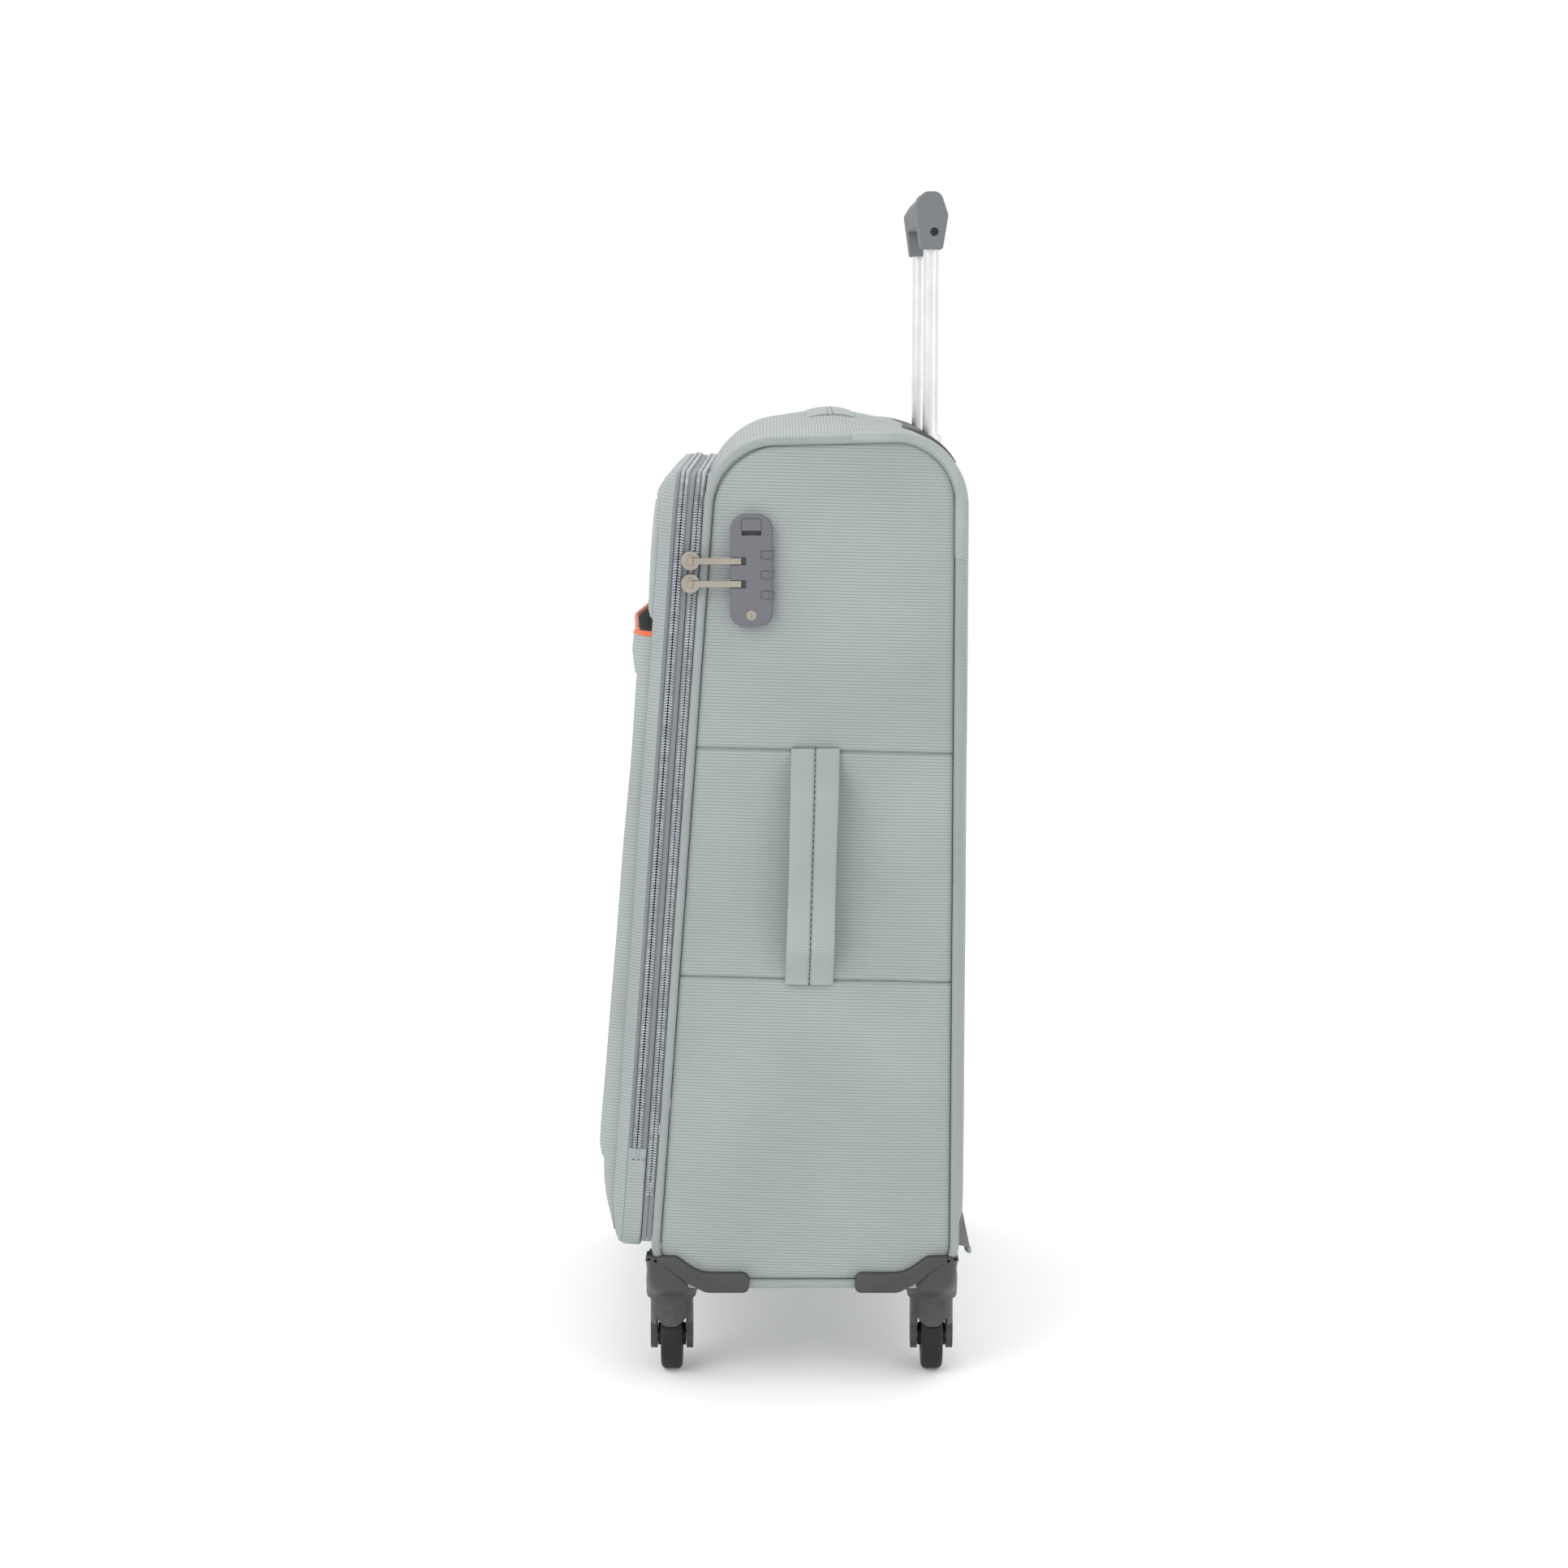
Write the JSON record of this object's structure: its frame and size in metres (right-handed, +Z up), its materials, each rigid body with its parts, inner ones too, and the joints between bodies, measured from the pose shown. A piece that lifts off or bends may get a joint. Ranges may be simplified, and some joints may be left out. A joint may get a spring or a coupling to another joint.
{
  "type": "softside upright suitcase",
  "caption": "Softside upright suitcase with swivel casters, a telescopic trolley, a zipped lid with a wedge expander, front pockets, a side lock, and carry handles.",
  "frame": {"origin": "on the floor, below the middle of the whole outline", "axes": "+Z up; -Y the front with the lid and pockets, +Y the back with the trolley; +X the side with the lock and the carry handle, -X the side with the rest feet"},
  "size_m": [0.4702, 0.2605, 0.8336],
  "materials": {
    "body_fabric": "ribbed woven polyester, matt with a soft sheen",
    "piping_fabric": "smooth woven piping over cord",
    "lining_fabric": "thin dark woven lining",
    "zip_tape": "woven zip tape with nylon coil",
    "caster_plastic": "fine-grained moulded plastic",
    "wheel_rubber": "smooth moulded tread",
    "steel": "zinc-plated",
    "tube_aluminium": "satin anodised",
    "grip_plastic": "fine-grained moulded plastic",
    "dark_plastic": "moulded plastic",
    "lock_plastic": "satin moulded plastic",
    "dial_plastic": "moulded",
    "nickel": "polished nickel plate"
  },
  "bodies": {
    "case": {"base_pan": "body_fabric", "back_panel": "body_fabric", "top_panel": "body_fabric", "side_panel_right": "body_fabric", "side_panel_left": "body_fabric", "front_frame": "body_fabric", "piping": "piping_fabric", "corner_bumpers": "piping_fabric", "lining": "lining_fabric", "side_handle": "body_fabric", "top_handle": "body_fabric", "side_feet": "dark_plastic", "main_zip_case": "zip_tape", "lid_hinge_strip": "lining_fabric", "outer_tubes": "tube_aluminium", "trolley_bezel": "dark_plastic", "trolley_foot_bracket": "dark_plastic", "kingpins": "steel", "lock_body": "lock_plastic", "zip_sliders": "nickel", "caster_housing_front_right": "caster_plastic", "caster_housing_front_left": "caster_plastic", "caster_housing_rear_right": "caster_plastic", "caster_housing_rear_left": "caster_plastic"},
    "lid": {"main_zip_lid": "zip_tape", "lid_band": "body_fabric", "expander_zip_lid": "zip_tape", "expander_gusset": "lining_fabric"},
    "front": {"expander_zip_front": "zip_tape", "front_panel": "body_fabric", "upper_pocket": "body_fabric", "lower_pocket": "body_fabric"},
    "trolley_middle": {"middle_tubes": "tube_aluminium"},
    "trolley_grip": {"inner_tubes": "tube_aluminium", "grip_body": "grip_plastic", "grip_cover": "grip_plastic", "grip_screws": "steel", "button_spring": "steel"},
    "grip_button": {"grip_button": "grip_plastic", "push_rods": "steel"},
    "lock_release": {"lock_release_button": "lock_plastic"},
    "key_cylinder": {"key_cylinder": "nickel"},
    "zip_pull_upper": {"zip_pull_upper": "nickel"},
    "zip_pull_lower": {"zip_pull_lower": "nickel"},
    "caster_front_right": {"fork_front_right": "caster_plastic", "axle_front_right": "steel"},
    "wheel_front_right": {"wheel_front_right": "wheel_rubber"},
    "caster_front_left": {"fork_front_left": "caster_plastic", "axle_front_left": "steel"},
    "wheel_front_left": {"wheel_front_left": "wheel_rubber"},
    "caster_rear_right": {"fork_rear_right": "caster_plastic", "axle_rear_right": "steel"},
    "wheel_rear_right": {"wheel_rear_right": "wheel_rubber"},
    "caster_rear_left": {"fork_rear_left": "caster_plastic", "axle_rear_left": "steel"},
    "wheel_rear_left": {"wheel_rear_left": "wheel_rubber"},
    "dial_upper": {"lock_dial_upper": "dial_plastic"},
    "dial_middle": {"lock_dial_middle": "dial_plastic"},
    "dial_lower": {"lock_dial_lower": "dial_plastic"}
  },
  "joints": [
    {"name": "lid_hinge", "type": "hinge", "parent": "case", "child": "lid", "pos_m": [0, -0.0998, 0.0999], "axis": [1, 0, 0], "range_deg": [0, 90], "deforming": ["lid_hinge_strip"]},
    {"name": "expander", "type": "hinge", "parent": "lid", "child": "front", "pos_m": [0, -0.1113, 0.1008], "axis": [1, 0, 0], "range_deg": [0, 4.5], "deforming": ["expander_gusset"]},
    {"name": "trolley_middle_slide", "type": "slide", "parent": "case", "child": "trolley_middle", "axis": [0, 0, 1], "range_m": [0, 0.18]},
    {"name": "trolley_grip_slide", "type": "slide", "parent": "trolley_middle", "child": "trolley_grip", "axis": [0, 0, 1], "range_m": [-0.125, 0.055]},
    {"name": "grip_button_press", "type": "slide", "parent": "trolley_grip", "child": "grip_button", "axis": [0, 0, -1], "range_m": [0, 0.0035], "stiffness_N_per_m": 900, "springref_m": -0.002, "deforming": ["button_spring"]},
    {"name": "lock_release_slide", "type": "slide", "parent": "case", "child": "lock_release", "axis": [0, 0, -1], "range_m": [0, 0.003], "stiffness_N_per_m": 300, "springref_m": -0.001},
    {"name": "key_turn", "type": "hinge", "parent": "case", "child": "key_cylinder", "pos_m": [0.22, -0.02206, 0.5445], "axis": [1, 0, 0], "range_deg": [0, 90]},
    {"name": "zip_pull_upper_swing", "type": "hinge", "parent": "case", "child": "zip_pull_upper", "pos_m": [0.2218, -0.06356, 0.5813], "axis": [0, 0, -1], "range_deg": [0, 150]},
    {"name": "zip_pull_lower_swing", "type": "hinge", "parent": "case", "child": "zip_pull_lower", "pos_m": [0.2218, -0.06356, 0.5657], "axis": [0, 0, -1], "range_deg": [0, 150]},
    {"name": "dial_lower_turn", "type": "hinge", "parent": "case", "child": "dial_lower", "pos_m": [0.2191, -0.01196, 0.5584], "axis": [0, 0, 1], "continuous": true},
    {"name": "dial_middle_turn", "type": "hinge", "parent": "case", "child": "dial_middle", "pos_m": [0.2191, -0.01196, 0.572], "axis": [0, 0, 1], "continuous": true},
    {"name": "dial_upper_turn", "type": "hinge", "parent": "case", "child": "dial_upper", "pos_m": [0.2191, -0.01196, 0.5856], "axis": [0, 0, 1], "continuous": true},
    {"name": "swivel_front_right", "type": "hinge", "parent": "case", "child": "caster_front_right", "pos_m": [0.184, -0.08009, 0.05], "axis": [0, 0, 1], "continuous": true},
    {"name": "roll_front_right", "type": "hinge", "parent": "caster_front_right", "child": "wheel_front_right", "pos_m": [0.175, -0.08009, 0.0246], "axis": [0, 1, 0], "continuous": true},
    {"name": "swivel_front_left", "type": "hinge", "parent": "case", "child": "caster_front_left", "pos_m": [-0.184, -0.08009, 0.05], "axis": [0, 0, 1], "continuous": true},
    {"name": "roll_front_left", "type": "hinge", "parent": "caster_front_left", "child": "wheel_front_left", "pos_m": [-0.193, -0.08009, 0.0246], "axis": [0, 1, 0], "continuous": true},
    {"name": "swivel_rear_right", "type": "hinge", "parent": "case", "child": "caster_rear_right", "pos_m": [0.184, 0.10531, 0.05], "axis": [0, 0, 1], "continuous": true},
    {"name": "roll_rear_right", "type": "hinge", "parent": "caster_rear_right", "child": "wheel_rear_right", "pos_m": [0.175, 0.10531, 0.0246], "axis": [0, 1, 0], "continuous": true},
    {"name": "swivel_rear_left", "type": "hinge", "parent": "case", "child": "caster_rear_left", "pos_m": [-0.184, 0.10531, 0.05], "axis": [0, 0, 1], "continuous": true},
    {"name": "roll_rear_left", "type": "hinge", "parent": "caster_rear_left", "child": "wheel_rear_left", "pos_m": [-0.193, 0.10531, 0.0246], "axis": [0, 1, 0], "continuous": true}
  ]
}
